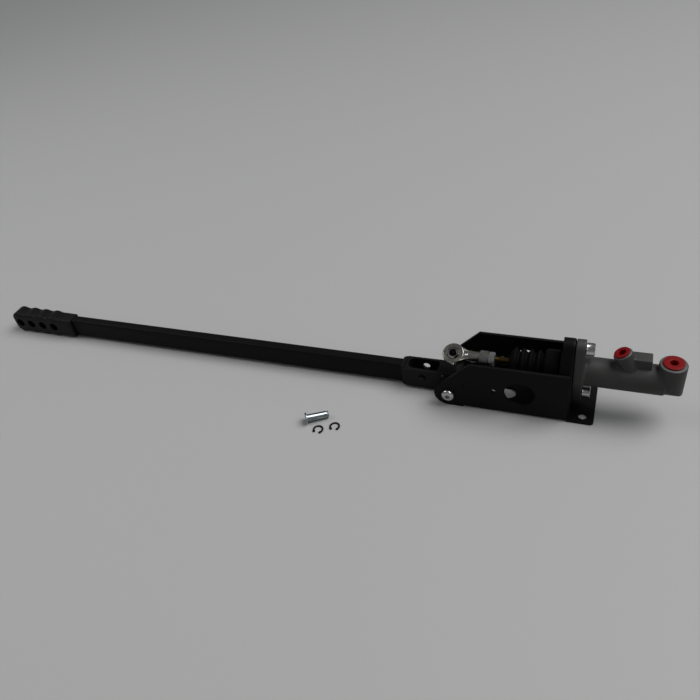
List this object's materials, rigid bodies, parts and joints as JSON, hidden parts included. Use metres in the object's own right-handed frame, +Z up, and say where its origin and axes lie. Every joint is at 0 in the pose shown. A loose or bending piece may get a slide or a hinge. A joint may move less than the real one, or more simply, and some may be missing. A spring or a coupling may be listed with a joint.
{
  "type": "parking brake lever",
  "caption": "Hydraulic parking brake lever: long bar with a scalloped grip, folded channel bracket, horizontal master cylinder with boot and rod end, and its loose clevis pin and clips.",
  "frame": {"origin": "underside of the base, midway between the two rear mounting holes", "axes": "+Z up from the mounting face; +X from the lever towards the master cylinder, along both; the brake lies down with its lever along -X"},
  "size_m": [0.8522, 0.1383, 0.0867],
  "materials": {
    "black_coat": "semi-gloss black powder coat",
    "black_machined": "satin black anodised, machined edges",
    "cast_grey": "dark grey cast and machined",
    "zinc": "bright zinc plate",
    "blue_zinc": "bluish zinc plate",
    "yellow_zinc": "yellow zinc plate",
    "weld": "bare weld metal",
    "steel": "plain steel",
    "chrome": "polished",
    "black_steel": "black phosphated spring steel",
    "bronze": "plain bearing bronze",
    "rubber": "matte",
    "red_plastic": "matte moulded",
    "anodised": "clear anodised"
  },
  "bodies": {
    "base": {"base_bracket": "black_coat", "end_plate": "black_coat", "cylinder_body": "cast_grey", "outlet_plug": "red_plastic", "inlet_plug": "red_plastic", "flange_bolt_upper": "zinc", "flange_bolt_lower": "zinc", "circlip": "black_steel", "retaining_washer": "steel", "return_spring": "steel", "dust_boot": "rubber", "pivot_bolt": "zinc", "pivot_washer": "zinc", "pivot_nut": "zinc", "spacer_near": "zinc", "spacer_far": "zinc", "clevis_pin": "blue_zinc", "clip_a": "black_steel", "clip_b": "black_steel"},
    "lever": {"lever_block": "black_machined", "pivot_bush": "bronze", "set_screw": "zinc", "weld_bead": "weld", "lever_bar": "black_coat", "grip": "black_machined"},
    "plunger": {"piston": "anodised", "primary_seal": "rubber", "secondary_seal": "rubber"},
    "rod": {"pushrod": "yellow_zinc", "jam_nut": "zinc", "rod_end_housing": "zinc", "rod_end_race": "steel"},
    "ball": {"rod_end_ball": "chrome"}
  },
  "joints": [
    {"name": "lever_pivot", "type": "hinge", "parent": "base", "child": "lever", "pos_m": [-0.138, 0, 0.0154], "axis": [0, 1, 0], "range_deg": [0, 86]},
    {"name": "pushrod_slide", "type": "slide", "parent": "base", "child": "plunger", "axis": [1, 0, 0], "range_m": [0, 0.027], "stiffness_N_per_m": 900, "springref_m": -0.02, "deforming": ["return_spring", "dust_boot"]},
    {"name": "rod_end_turn", "type": "hinge", "parent": "plunger", "child": "rod", "pos_m": [-0.137, 0, 0.0485], "axis": [1, 0, 0], "range_deg": [0, 80]},
    {"name": "ball_swivel", "type": "hinge", "parent": "rod", "child": "ball", "pos_m": [-0.137, 0, 0.0485], "axis": [1, 0, 0], "range_deg": [-12, 12]}
  ],
  "couplings": [
    {"joint": "rod_end_turn", "follows": "lever_pivot", "ratio": 0.93}
  ]
}
